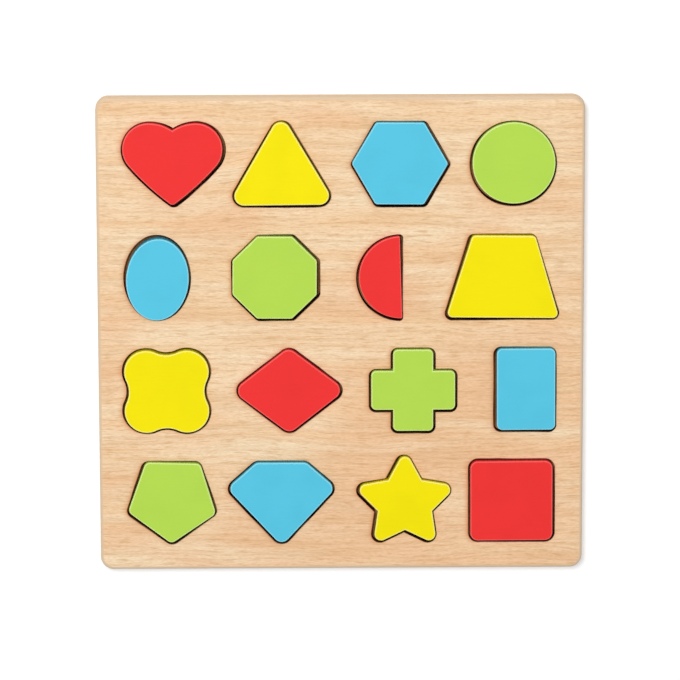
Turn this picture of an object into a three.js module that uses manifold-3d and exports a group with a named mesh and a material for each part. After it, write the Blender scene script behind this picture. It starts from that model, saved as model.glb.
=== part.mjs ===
// Wooden shape puzzle: a board of two glued panels, with sixteen outlines cut through the upper one and
// a loose painted tile lying in each cut-out. Millimetres, +Z up, +X to the board's right and +Y to its
// top edge. The origin is under the middle of the board, on the surface that it lies on.

import * as THREE from 'three';
import { mergeVertices, toCreasedNormals } from 'three/addons/utils/BufferGeometryUtils.js';
import Module from 'manifold-3d';

// Board: the thickness of its two panels, its rounded corners and its sanded edges
const BASE_THICKNESS = 3;
const FRAME_THICKNESS = 5;
const BOARD_CORNER_RADIUS = 6;
const BOARD_EDGE_ROUND = 1.2;

// Layout: wood around the cut-outs, wood between two rows of them, and how far the whole grid of cut-outs
// lies above the middle of the board
const EDGE_MARGIN = 11.35;
const ROW_BAND = 13.1;
const GRID_RISE = 0.6;

// Tiles: their thickness and usual height, the eased edge, the gap all round in the cut-out, and the
// least gap that is left on the side to which a loose tile has slid
const TILE_THICKNESS = 7;
const TILE_HEIGHT = 38.9;
const TILE_EDGE_ROUND = 0.4;
const CLEARANCE = 0.9;
const LEAST_GAP = 0.2;

// Sizes of the sixteen outlines
const HEART_WIDTH = 46;
const HEART_HEIGHT = 38.2;
const HEART_LOBE_RADIUS = 12.2;
const HEART_FLANK_RADIUS = 120;
const HEART_TIP_RADIUS = 2;
const HEART_NOTCH_DEPTH = 3.4;
const TRIANGLE_WIDTH = 43.5;
const TRIANGLE_CORNER = 4.4;
const HEXAGON_HEIGHT = 38.4;
const HEXAGON_CORNER = 1.8;
const CIRCLE_DIAMETER = 38.1;
const ELLIPSE_WIDTH = 28.9;
const ELLIPSE_HEIGHT = 38.6;
const OCTAGON_CORNER = 1.9;
const SEMICIRCLE_CORNER = 0.6;
const TRAPEZOID_TOP = 30.2;
const TRAPEZOID_BASE = 50.8;
const TRAPEZOID_CORNER = 2.3;
const QUATREFOIL_SIZE = 39.2;
const QUATREFOIL_LOBE_RADIUS = 10.2;
const QUATREFOIL_WAIST_DEPTH = 2.1;
const RHOMBUS_WIDTH = 47.2;
const RHOMBUS_CORNER = 4.4;
const CROSS_ARM_WIDTH = 18.6;
const CROSS_CORNER = 2.3;
const RECTANGLE_WIDTH = 27.1;
const RECTANGLE_CORNER = 2.6;
const PENTAGON_HEIGHT = 38.3;
const PENTAGON_CORNER = 2.9;
const GEM_WIDTH = 47.5;
const GEM_HEIGHT = 38.3;
const GEM_TABLE_WIDTH = 28.1;
const GEM_GIRDLE_DROP = 12.6;
const GEM_CORNER = 3.9;
const STAR_HEIGHT = 40.4;
const STAR_INNER_RADIUS = 13.3;
const STAR_TIP_RADIUS = 3.1;
const SQUARE_SIDE = 38.3;
const SQUARE_CORNER = 3.6;

// How finely curves are faceted: the most that a chord strays from its arc, and the steps in a rounded edge
const CHORD_ERROR = 0.05;
const BOARD_EDGE_STEPS = 3;
const TILE_EDGE_STEPS = 2;

// How far a cutting tool runs past the wood that it cuts, and the angle at which shading breaks at an edge
const CUT_OVERRUN = 2;
const CREASE_ANGLE = Math.PI / 6;

const BEECH = { color: 0xeecda2, roughness: 0.55, metalness: 0 };
const BACKING = { color: 0xc49a6c, roughness: 0.7, metalness: 0 };
const RED = { color: 0xee3a38, roughness: 0.45, metalness: 0 };
const YELLOW = { color: 0xf4e41d, roughness: 0.45, metalness: 0 };
const BLUE = { color: 0x5fc9e8, roughness: 0.45, metalness: 0 };
const GREEN = { color: 0xb4dd57, roughness: 0.45, metalness: 0 };

// Outlines. Each returns its points counter-clockwise, moved outwards all round by grow.

/** Points of a circular arc, counter-clockwise if `to` is the larger angle. */
function arc(x, y, radius, from, to) {
  const step = 2 * Math.acos(1 - Math.min(CHORD_ERROR / radius, 1));
  const count = Math.max(2, Math.ceil(Math.abs(to - from) / step));
  return new THREE.EllipseCurve(x, y, radius, radius, from, to, to < from).getPoints(count);
}

/** Points of a regular polygon, the first one at the angle `start`. */
function regularPolygon(count, radius, start) {
  return Array.from({ length: count }, (_, i) => {
    const angle = start + (i * 2 * Math.PI) / count;
    return new THREE.Vector2(radius * Math.cos(angle), radius * Math.sin(angle));
  });
}

/** Angle of the outward normal of the edge from one point to the next, run counter-clockwise. */
function normalAngle(from, to) {
  return Math.atan2(from.x - to.x, to.y - from.y);
}

/** Band drawn round the points of a convex polygon at a distance, so that each corner is an arc. */
function roundedHull(centres, distance) {
  const count = centres.length;
  return centres.flatMap((centre, i) => {
    const before = normalAngle(centres[(i + count - 1) % count], centre);
    const after = normalAngle(centre, centres[(i + 1) % count]);
    const turn = THREE.MathUtils.euclideanModulo(after - before, 2 * Math.PI);
    return arc(centre.x, centre.y, distance, before, before + turn);
  });
}

/** Mirror image of the points across the Y axis, in reverse so that they still run counter-clockwise. */
function mirrored(points) {
  return points.map((point) => new THREE.Vector2(-point.x, point.y)).reverse();
}

/** Rectangle with rounded corners. */
function roundedRectangle(width, height, corner, grow) {
  const x = width / 2 - corner;
  const y = height / 2 - corner;
  const right = [new THREE.Vector2(x, -y), new THREE.Vector2(x, y)];
  return roundedHull([...right, ...mirrored(right)], corner + grow);
}

/** Centre of the large circle that two smaller ones touch from inside, on the side of the smaller x. */
function innerTangentCentre(first, firstRadius, second, secondRadius, radius) {
  const between = second.clone().sub(first);
  const length = between.length();
  const toFirst = radius - firstRadius;
  const toSecond = radius - secondRadius;
  const along = (toFirst ** 2 - toSecond ** 2 + length ** 2) / (2 * length);
  const across = Math.sqrt(toFirst ** 2 - along ** 2);
  const unit = between.divideScalar(length);
  const square = new THREE.Vector2(unit.y, -unit.x);
  return first.clone().addScaledVector(unit, along).addScaledVector(square, across);
}

/** Copies of the points turned about the origin, evenly all the way round. */
function turnedCopies(points, count) {
  const centre = new THREE.Vector2();
  return Array.from({ length: count }, (_, i) => (i * 2 * Math.PI) / count).flatMap((angle) =>
    points.map((point) => point.clone().rotateAround(centre, angle)));
}

/**
 * Heart: on each side a small round tip at the foot runs into a long bowed flank, a round lobe and a
 * flatter crown, and the two crowns meet in a sharp notch.
 */
function heart(grow) {
  const top = HEART_HEIGHT / 2;
  const lobe = new THREE.Vector2(HEART_WIDTH / 2 - HEART_LOBE_RADIUS, top - HEART_LOBE_RADIUS);
  const tip = new THREE.Vector2(0, HEART_TIP_RADIUS - top);
  const flank = innerTangentCentre(lobe, HEART_LOBE_RADIUS, tip, HEART_TIP_RADIUS, HEART_FLANK_RADIUS);
  const flankTop = Math.atan2(lobe.y - flank.y, lobe.x - flank.x);
  const flankFoot = Math.atan2(tip.y - flank.y, tip.x - flank.x);
  const crownRadius = (lobe.x ** 2 + HEART_NOTCH_DEPTH ** 2) / (2 * HEART_NOTCH_DEPTH);
  const crownEnd = Math.PI / 2 + Math.asin(lobe.x / (crownRadius + grow));
  const right = [
    ...arc(tip.x, tip.y, HEART_TIP_RADIUS + grow, -Math.PI / 2, flankFoot),
    ...arc(flank.x, flank.y, HEART_FLANK_RADIUS + grow, flankFoot, flankTop).slice(1),
    ...arc(lobe.x, lobe.y, HEART_LOBE_RADIUS + grow, flankTop, Math.PI / 2).slice(1),
    ...arc(lobe.x, top - crownRadius, crownRadius + grow, Math.PI / 2, crownEnd).slice(1),
  ];
  return [...right, ...mirrored(right).slice(1, -1)];
}

/** Upright triangle with its base at the bottom. */
function triangle(grow) {
  const x = TRIANGLE_WIDTH / 2 - TRIANGLE_CORNER;
  const y = TILE_HEIGHT / 2 - TRIANGLE_CORNER;
  const centres = [new THREE.Vector2(-x, -y), new THREE.Vector2(x, -y), new THREE.Vector2(0, y)];
  return roundedHull(centres, TRIANGLE_CORNER + grow);
}

/** Regular polygon with an even number of sides, one of them flat at the top. */
function evenPolygon(sides, height, corner, grow) {
  const half = Math.PI / sides;
  const radius = (height / 2 - corner) / Math.cos(half);
  return roundedHull(regularPolygon(sides, radius, Math.PI / 2 + half), corner + grow);
}

function hexagon(grow) {
  return evenPolygon(6, HEXAGON_HEIGHT, HEXAGON_CORNER, grow);
}

function circle(grow) {
  return arc(0, 0, CIRCLE_DIAMETER / 2 + grow, 0, 2 * Math.PI).slice(1);
}

function ellipse(grow) {
  const x = ELLIPSE_WIDTH / 2 + grow;
  const y = ELLIPSE_HEIGHT / 2 + grow;
  const count = arc(0, 0, Math.max(x, y), 0, 2 * Math.PI).length;
  return new THREE.EllipseCurve(0, 0, x, y, 0, 2 * Math.PI).getPoints(count).slice(1);
}

function octagon(grow) {
  return evenPolygon(8, TILE_HEIGHT, OCTAGON_CORNER, grow);
}

/** Half disc with its straight side on the right. */
function semicircle(grow) {
  const radius = TILE_HEIGHT / 2;
  const cornerX = -SEMICIRCLE_CORNER;
  const cornerY = Math.sqrt((radius - SEMICIRCLE_CORNER) ** 2 - SEMICIRCLE_CORNER ** 2);
  const meet = Math.atan2(cornerY, cornerX);
  return [
    ...arc(cornerX, cornerY, SEMICIRCLE_CORNER + grow, 0, meet),
    ...arc(0, 0, radius + grow, meet, 2 * Math.PI - meet).slice(1),
    ...arc(cornerX, -cornerY, SEMICIRCLE_CORNER + grow, 2 * Math.PI - meet, 2 * Math.PI).slice(1),
  ];
}

/** Trapezoid with its long side at the bottom. */
function trapezoid(grow) {
  const y = TILE_HEIGHT / 2 - TRAPEZOID_CORNER;
  const right = [
    new THREE.Vector2(TRAPEZOID_BASE / 2 - TRAPEZOID_CORNER, -y),
    new THREE.Vector2(TRAPEZOID_TOP / 2 - TRAPEZOID_CORNER, y),
  ];
  return roundedHull([...right, ...mirrored(right)], TRAPEZOID_CORNER + grow);
}

/** Four round lobes, joined by hollow waists that run smoothly into them. */
function quatrefoil(grow) {
  const lobe = QUATREFOIL_SIZE / 2 - QUATREFOIL_LOBE_RADIUS;
  const waist = QUATREFOIL_SIZE / 2 - QUATREFOIL_WAIST_DEPTH;
  const rise = waist - lobe;
  const waistRadius =
    (rise ** 2 + lobe ** 2 - QUATREFOIL_LOBE_RADIUS ** 2) / (2 * (QUATREFOIL_LOBE_RADIUS - rise));
  const waistCentre = waist + waistRadius;
  const meet = Math.atan2(lobe, waistCentre - lobe);
  const quarter = [
    ...arc(lobe, lobe, QUATREFOIL_LOBE_RADIUS + grow, -meet, Math.PI / 2 + meet),
    ...arc(0, waistCentre, waistRadius - grow, meet - Math.PI / 2, -meet - Math.PI / 2).slice(1, -1),
  ];
  return turnedCopies(quarter, 4);
}

/** Rhombus on its point, wider than it is tall. */
function rhombus(grow) {
  const x = RHOMBUS_WIDTH / 2 - RHOMBUS_CORNER;
  const y = TILE_HEIGHT / 2 - RHOMBUS_CORNER;
  const centres = [
    new THREE.Vector2(0, -y),
    new THREE.Vector2(x, 0),
    new THREE.Vector2(0, y),
    new THREE.Vector2(-x, 0),
  ];
  return roundedHull(centres, RHOMBUS_CORNER + grow);
}

/** Cross of two equal bars: rounded ends, and sharp corners where the bars meet. */
function cross(grow) {
  const end = TILE_HEIGHT / 2 - CROSS_CORNER;
  const side = CROSS_ARM_WIDTH / 2 - CROSS_CORNER;
  const inner = CROSS_ARM_WIDTH / 2 + grow;
  const arm = [
    ...arc(end, -side, CROSS_CORNER + grow, -Math.PI / 2, 0),
    ...arc(end, side, CROSS_CORNER + grow, 0, Math.PI / 2),
    new THREE.Vector2(inner, inner),
  ];
  return turnedCopies(arm, 4);
}

function rectangle(grow) {
  return roundedRectangle(RECTANGLE_WIDTH, TILE_HEIGHT, RECTANGLE_CORNER, grow);
}

/** Distance from the middle of a five-pointed figure to the centres of its round corners. */
function fivefoldRadius(height, corner) {
  return (height - 2 * corner) / (1 + Math.cos(Math.PI / 5));
}

/** Regular pentagon with its point at the bottom. */
function pentagon(grow) {
  const radius = fivefoldRadius(PENTAGON_HEIGHT, PENTAGON_CORNER);
  return roundedHull(regularPolygon(5, radius, -Math.PI / 2), PENTAGON_CORNER + grow);
}

/** Cut stone seen from the side: a flat table at the top, wide at the girdle and a point at the bottom. */
function gem(grow) {
  const top = GEM_HEIGHT / 2;
  const right = [
    new THREE.Vector2(GEM_WIDTH / 2 - GEM_CORNER, top - GEM_GIRDLE_DROP),
    new THREE.Vector2(GEM_TABLE_WIDTH / 2 - GEM_CORNER, top - GEM_CORNER),
  ];
  const point = new THREE.Vector2(0, GEM_CORNER - top);
  return roundedHull([point, ...right, ...mirrored(right)], GEM_CORNER + grow);
}

/** Five-pointed star with round tips and sharp inner corners. */
function star(grow) {
  const tip = fivefoldRadius(STAR_HEIGHT, STAR_TIP_RADIUS);
  const halfPoint = Math.PI / 5;
  const centre = new THREE.Vector2();
  const inner = new THREE.Vector2(STAR_INNER_RADIUS, 0).rotateAround(centre, halfPoint);
  const toTip = new THREE.Vector2(tip, 0).sub(inner);
  const edge = Math.atan2(-toTip.y, toTip.x) - Math.asin(STAR_TIP_RADIUS / toTip.length());
  const innerReach = STAR_INNER_RADIUS + grow / Math.sin(edge + halfPoint);
  const point = [
    ...arc(tip, 0, STAR_TIP_RADIUS + grow, edge - Math.PI / 2, Math.PI / 2 - edge),
    new THREE.Vector2(innerReach, 0).rotateAround(centre, halfPoint),
  ];
  return turnedCopies(point, 5).map((corner) => corner.rotateAround(centre, Math.PI / 2));
}

function square(grow) {
  return roundedRectangle(SQUARE_SIDE, SQUARE_SIDE, SQUARE_CORNER, grow);
}

// Tiles row by row from the top left. `shift` is how far the middle of a cut-out lies to the right of its
// grid column, and `rise` how far above its row. `lie` is how a loose tile has slid and turned in its
// cut-out, as shares of the play that it has there: to the right, to the top, and at its rim
// counter-clockwise. The ellipse has room to turn by more than one share.
const TILES = [
  [
    { name: 'heart', outline: heart, paint: RED, shift: 4, lie: [-0.68, 0.68, -0.2] },
    { name: 'triangle', outline: triangle, paint: YELLOW, shift: -0.1, lie: [-0.2, 0.55, 0.2] },
    { name: 'hexagon', outline: hexagon, paint: BLUE, shift: 0.8, rise: -0.3, lie: [-0.5, 0.85, -0.2] },
    { name: 'circle', outline: circle, paint: GREEN, shift: -1.2, rise: -0.3, lie: [0.35, 0.9, 0] },
  ],
  [
    { name: 'ellipse', outline: ellipse, paint: BLUE, shift: -4, rise: 0.2, lie: [0.2, -0.75, -2] },
    { name: 'octagon', outline: octagon, paint: GREEN, shift: -3.1, lie: [-0.7, 0.62, -0.2] },
    { name: 'semicircle', outline: semicircle, paint: RED, shift: -8.9, rise: -0.2, lie: [0.2, 0.4, 0.8] },
    { name: 'trapezoid', outline: trapezoid, paint: YELLOW, shift: -6.1, lie: [0.68, 0.6, -0.3] },
  ],
  [
    { name: 'quatrefoil', outline: quatrefoil, paint: YELLOW, shift: -0.1, lie: [0, 0.1, 0.1] },
    { name: 'rhombus', outline: rhombus, paint: RED, shift: 3, lie: [-0.3, 0.5, 0.2] },
    { name: 'cross', outline: cross, paint: GREEN, shift: 6.6, rise: -0.3, lie: [0, 0.8, 0] },
    { name: 'rectangle', outline: rectangle, paint: BLUE, shift: 4.7, lie: [0.7, 0.7, 0.1] },
  ],
  [
    { name: 'pentagon', outline: pentagon, paint: GREEN, shift: 1.8, lie: [0.2, 0.6, -0.7] },
    { name: 'gem', outline: gem, paint: BLUE, shift: -1, rise: -0.1, lie: [0.1, 0.6, 0] },
    { name: 'star', outline: star, paint: YELLOW, shift: 2.3, rise: 1.4, lie: [0.75, 0.6, 0] },
    { name: 'square', outline: square, paint: RED, shift: -1.3, rise: 0.4, lie: [-0.1, 0.3, 0.1] },
  ],
];

// Sizes that follow from the values above
const CUTOUT_HEIGHT = TILE_HEIGHT + 2 * CLEARANCE;
const GRID_PITCH = CUTOUT_HEIGHT + ROW_BAND;
const GRID_REACH = ((TILES.length - 1) * GRID_PITCH) / 2;
const BOARD_SIDE = 2 * (EDGE_MARGIN + GRID_REACH) + CUTOUT_HEIGHT;
const BOARD_THICKNESS = BASE_THICKNESS + FRAME_THICKNESS;
const PLAY = CLEARANCE - LEAST_GAP;

/** Middle of a cut-out on the board. */
function cutoutCentre(row, column, shift, rise) {
  const x = column * GRID_PITCH - GRID_REACH + shift;
  const y = GRID_REACH - row * GRID_PITCH + GRID_RISE + rise;
  return new THREE.Vector2(x, y);
}

/** Shape of an outline, with the middle of the ungrown outline's box at its origin. */
function centredShape(outline, grow) {
  const middle = new THREE.Box2().setFromPoints(outline(0)).getCenter(new THREE.Vector2());
  return new THREE.Shape(outline(grow).map((point) => point.sub(middle)));
}

/** Plate with its lower face at z = 0 and both of its edges rounded. */
function roundedPlate(shape, thickness, edgeRound, edgeSteps) {
  return new THREE.ExtrudeGeometry(shape, {
    depth: thickness - 2 * edgeRound,
    bevelThickness: edgeRound,
    bevelSize: edgeRound,
    bevelOffset: -edgeRound,
    bevelSegments: edgeSteps,
  }).translate(0, 0, edgeRound);
}

// Joining and cutting

const wasm = await Module();
wasm.setup();

/** Solid body of a closed geometry. */
function toSolid(geometry) {
  const bare = geometry.clone();
  bare.deleteAttribute('normal');
  bare.deleteAttribute('uv');
  const merged = mergeVertices(bare);
  const vertProperties = Float32Array.from(merged.attributes.position.array);
  const triVerts = Uint32Array.from(merged.index.array);
  return new wasm.Manifold(new wasm.Mesh({ numProp: 3, vertProperties, triVerts }));
}

/** Geometry of a solid body. */
function toGeometry(solid) {
  const { vertProperties, triVerts } = solid.getMesh();
  const geometry = new THREE.BufferGeometry();
  geometry.setAttribute('position', new THREE.BufferAttribute(vertProperties, 3));
  geometry.setIndex(new THREE.BufferAttribute(triVerts, 1));
  return toCreasedNormals(geometry, CREASE_ANGLE);
}

// Board: one rounded plate, parted at the glue line, with the outlines cut through the upper panel

const boardShape = new THREE.Shape(roundedRectangle(BOARD_SIDE, BOARD_SIDE, BOARD_CORNER_RADIUS, 0));
const board = toSolid(roundedPlate(boardShape, BOARD_THICKNESS, BOARD_EDGE_ROUND, BOARD_EDGE_STEPS));

const upperHeight = FRAME_THICKNESS + CUT_OVERRUN;
const upperWidth = BOARD_SIDE + 2 * CUT_OVERRUN;
const upperBox = new THREE.BoxGeometry(upperWidth, upperWidth, upperHeight);
const upperHalf = toSolid(upperBox.translate(0, 0, BASE_THICKNESS + upperHeight / 2));

const basePanel = board.subtract(upperHalf);
let framePanel = board.intersect(upperHalf);

const part = new THREE.Group();
part.name = 'shape_puzzle';

/** Adds a named piece of its own material to the part. */
function addPiece(name, geometry, look) {
  const mesh = new THREE.Mesh(geometry, new THREE.MeshStandardMaterial(look));
  mesh.name = name;
  part.add(mesh);
  return mesh;
}

TILES.forEach((tiles, row) => {
  tiles.forEach(({ name, outline, paint, shift, rise = 0, lie: [right, up, turn] }, column) => {
    const centre = cutoutCentre(row, column, shift, rise);
    const cutter = new THREE.ExtrudeGeometry(centredShape(outline, CLEARANCE), {
      depth: FRAME_THICKNESS + 2 * CUT_OVERRUN,
      bevelEnabled: false,
    });
    cutter.translate(centre.x, centre.y, BASE_THICKNESS - CUT_OVERRUN);
    framePanel = framePanel.subtract(toSolid(cutter));

    const plate = roundedPlate(centredShape(outline, 0), TILE_THICKNESS, TILE_EDGE_ROUND, TILE_EDGE_STEPS);
    const tile = addPiece(`${name}_tile`, plate, paint);
    tile.position.set(centre.x + right * PLAY, centre.y + up * PLAY, BASE_THICKNESS);
    tile.rotation.z = (turn * PLAY) / (TILE_HEIGHT / 2);
  });
});

addPiece('base_panel', toGeometry(basePanel), BACKING);
addPiece('frame_panel', toGeometry(framePanel), BEECH);

export default part;
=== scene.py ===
"""Looks of a wooden shape puzzle: a beech-faced board with sixteen painted tiles lying in its cut-outs.

Everything is in metres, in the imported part's own frame: +Z up, +X to the board's right and +Y to its top
edge, with the origin under the middle of the board. Sizes are written in millimetres, and MM turns them into
metres.
"""

from __future__ import annotations

import logging
import math
from dataclasses import dataclass
from enum import Enum
from typing import Callable, Union

import bmesh
import bpy
from bpy.types import ID, Material, Mesh, Node, NodeSocket, NodeTree, Object
from mathutils import Matrix, Vector


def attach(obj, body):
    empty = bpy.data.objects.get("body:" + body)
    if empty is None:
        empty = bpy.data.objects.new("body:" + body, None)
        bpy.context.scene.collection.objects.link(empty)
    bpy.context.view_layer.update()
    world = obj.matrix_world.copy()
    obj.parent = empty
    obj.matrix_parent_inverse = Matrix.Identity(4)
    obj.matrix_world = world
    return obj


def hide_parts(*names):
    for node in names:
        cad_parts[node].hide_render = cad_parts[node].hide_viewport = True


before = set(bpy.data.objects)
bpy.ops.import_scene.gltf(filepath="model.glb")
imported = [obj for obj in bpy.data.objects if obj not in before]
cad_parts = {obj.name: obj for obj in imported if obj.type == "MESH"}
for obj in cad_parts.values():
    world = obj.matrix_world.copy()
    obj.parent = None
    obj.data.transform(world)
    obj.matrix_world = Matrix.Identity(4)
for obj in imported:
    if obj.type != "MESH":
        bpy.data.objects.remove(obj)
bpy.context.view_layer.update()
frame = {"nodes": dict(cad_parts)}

log = logging.getLogger("shape_puzzle")

MM = 0.001
TURN = 2 * math.pi
QUARTER = math.pi / 2
Point = tuple[float, float]
Ring = list[Point]
Colour = tuple[float, float, float]
Place = tuple[float, float, float]


def srgb(*levels: int) -> Colour:
    """Linear colour of a screen colour.

    Args:
        levels: Red, green and blue, 0 to 255.

    Returns:
        The colour as Blender's sockets take it.
    """
    shares = [level / 255 for level in levels]
    return tuple(x / 12.92 if x <= 0.04045 else ((x + 0.055) / 1.055) ** 2.4 for x in shares)


def add_object(name: str, data: ID) -> Object:
    """New object of the scene."""
    thing = bpy.data.objects.new(name, data)
    bpy.context.scene.collection.objects.link(thing)
    return thing


# Sizes


@dataclass(frozen=True)
class Layout:
    """Sizes that the board and the tiles share, in millimetres."""

    base: float = 3.0
    frame: float = 5.0
    tile: float = 7.0
    tile_height: float = 38.9
    clearance: float = 0.9
    least_gap: float = 0.2
    margin: float = 11.35
    row_band: float = 13.1
    rise: float = 0.6
    count: int = 4

    @property
    def board_top(self) -> float:
        """Level of the board's face."""
        return self.base + self.frame

    @property
    def tile_top(self) -> float:
        """Level of the tiles' faces."""
        return self.base + self.tile

    @property
    def cutout(self) -> float:
        """Height of a usual cut-out."""
        return self.tile_height + 2 * self.clearance

    @property
    def pitch(self) -> float:
        """Distance between the middles of two rows."""
        return self.cutout + self.row_band

    @property
    def reach(self) -> float:
        """Distance from the board's middle to the outer rows."""
        return self.pitch * (self.count - 1) / 2

    @property
    def side(self) -> float:
        """Side of the board."""
        return 2 * (self.margin + self.reach) + self.cutout


LAYOUT = Layout()


# Node graphs


@dataclass(frozen=True)
class Step:
    """Smooth step from 0 at a low level to a share of 1 at a high one."""

    low: float
    high: float
    share: float = 1.0


@dataclass(frozen=True)
class Grain:
    """Noise: the size of its features along X, Y and Z in millimetres, and its octaves."""

    x: float
    y: float
    z: float
    detail: float = 2.0


@dataclass(frozen=True)
class Sheen:
    """How a finish takes light: roughness, what unevenness adds to it, depth of the bump in metres, gloss."""

    rough: float
    gain: float
    depth: float
    gloss: float = 0.5


class Value:
    """A socket that takes part in Python expressions, each operation adding a Math node."""

    def __init__(self, graph: Graph, socket: NodeSocket) -> None:
        """Wraps an output socket of a graph."""
        self.graph = graph
        self.socket = socket

    def _math(self, operation: str, first: Term, second: Term = 0.0) -> Value:
        """Math node of two terms."""
        node = self.graph.node("ShaderNodeMath", {0: first, 1: second}, operation=operation)
        return Value(self.graph, node.outputs[0])

    def __add__(self, other: Term) -> Value:
        """self + other."""
        return self._math("ADD", self, other)

    __radd__ = __add__

    def __sub__(self, other: Term) -> Value:
        """self - other."""
        return self._math("SUBTRACT", self, other)

    def __rsub__(self, other: Term) -> Value:
        """other - self."""
        return self._math("SUBTRACT", other, self)

    def __mul__(self, other: Term) -> Value:
        """self * other."""
        return self._math("MULTIPLY", self, other)

    def __truediv__(self, other: Term) -> Value:
        """self / other."""
        return self._math("DIVIDE", self, other)

    def __gt__(self, other: Term) -> Value:
        """1 where self is the larger, else 0."""
        return self._math("GREATER_THAN", self, other)

    def __lt__(self, other: Term) -> Value:
        """1 where self is the smaller, else 0."""
        return self._math("LESS_THAN", self, other)

    def wave(self) -> Value:
        """Sine of the value, brought to between 0 and 1."""
        return self._math("SINE", self) * 0.5 + 0.5

    def ease(self, step: Step) -> Value:
        """Smooth step of the value."""
        levels = {"Value": self, "From Min": step.low, "From Max": step.high, "To Max": step.share}
        node = self.graph.node("ShaderNodeMapRange", levels, interpolation_type="SMOOTHSTEP")
        return Value(self.graph, node.outputs[0])


Term = Union[Value, float, int]
Row = tuple[Term, Term]


class Graph:
    """A node tree that is wired up from expressions."""

    def __init__(self, tree: NodeTree) -> None:
        """Starts from an empty tree."""
        self.tree = tree
        tree.nodes.clear()

    def node(self, kind: str, sockets: dict[str | int, object] | None = None, **settings: object) -> Node:
        """Adds a node.

        Args:
            kind: The node's type.
            sockets: Values, Value terms or output sockets, by the input's name or number.
            settings: Properties of the node, set first.

        Returns:
            The new node.
        """
        node = self.tree.nodes.new(kind)
        for name, setting in settings.items():
            setattr(node, name, setting)
        for key, term in (sockets or {}).items():
            self.put(node.inputs[key], term)
        return node

    def put(self, socket: NodeSocket, term: object) -> None:
        """Links a term to an input socket, or sets the socket's own value."""
        if isinstance(term, Value):
            term = term.socket
        if isinstance(term, NodeSocket):
            self.tree.links.new(term, socket)
        elif socket.type == "RGBA":
            socket.default_value = (*term, 1.0)
        else:
            socket.default_value = term

    def value(self, socket: NodeSocket) -> Value:
        """Output socket as a term of expressions."""
        return Value(self, socket)

    def vector(self, x: Term, y: Term, z: Term) -> NodeSocket:
        """Vector of three terms."""
        return self.node("ShaderNodeCombineXYZ", {0: x, 1: y, 2: z}).outputs[0]

    def vector_math(self, operation: str, sockets: dict[str | int, object]) -> NodeSocket:
        """Result of a Vector Math node."""
        return self.node("ShaderNodeVectorMath", sockets, operation=operation).outputs[0]


class Surface(Graph):
    """Node tree of a material, on the piece's own coordinates."""

    def __init__(self, name: str) -> None:
        """Makes the material and its coordinates."""
        self.material = bpy.data.materials.new(name)
        self.material.use_nodes = True
        super().__init__(self.material.node_tree)
        self.place = self.node("ShaderNodeTexCoord").outputs["Object"]
        parts = self.node("ShaderNodeSeparateXYZ", {0: self.place}).outputs
        self.x, self.y, self.z = (self.value(part) / MM for part in parts)

    def noise(self, grain: Grain, across: Value | None = None) -> Value:
        """Noise on the surface.

        Args:
            grain: The size of its features.
            across: Stands in for Y where the grain wanders.

        Returns:
            The noise, about 0.5 in the mean.
        """
        y = self.y if across is None else across
        place = self.vector(self.x / grain.x, y / grain.y, self.z / grain.z)
        sockets = {"Vector": place, "Scale": 1.0, "Detail": grain.detail}
        return self.value(self.node("ShaderNodeTexNoise", sockets).outputs[0])

    def rise(self, foot: float, head: float) -> Value:
        """Share of the way up from one level to another."""
        return (self.z - foot) / (head - foot)

    def burn(self) -> Value:
        """How hard the hot cut burnt the wood, 0 to 1."""
        return self.noise(BURN).ease(BURN_STEP)

    def attribute(self, name: str) -> Value:
        """Number that the mesh holds at each vertex."""
        return self.value(self.node("ShaderNodeAttribute", attribute_name=name).outputs["Fac"])

    def mix(self, factor: Term, first: object, second: object) -> NodeSocket:
        """Colour between two colours."""
        node = self.node("ShaderNodeMix", {0: factor, 6: first, 7: second}, data_type="RGBA")
        return node.outputs[2]

    def finish(self, colour: object, uneven: Value, height: Value, sheen: Sheen) -> Material:
        """Wires the shader.

        Args:
            colour: Base colour.
            uneven: What makes the roughness vary, about 0 to 1.
            height: Height of the surface for the bump, about 0 to 1.
            sheen: How the finish takes light.

        Returns:
            The material.
        """
        bump = self.node("ShaderNodeBump", {"Strength": 1.0, "Distance": sheen.depth, "Height": height})
        sockets = {
            "Base Color": colour,
            "Roughness": sheen.rough + uneven * sheen.gain,
            "Normal": bump.outputs[0],
            "Specular IOR Level": sheen.gloss,
        }
        shader = self.node("ShaderNodeBsdfPrincipled", sockets)
        self.node("ShaderNodeOutputMaterial", {"Surface": shader.outputs[0]})
        return self.material


# Finishes

# Stretches of the cut-outs that the cut burnt harder than others
BURN = Grain(20, 20, 20, 1.0)
BURN_STEP = Step(0.38, 0.6)


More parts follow.
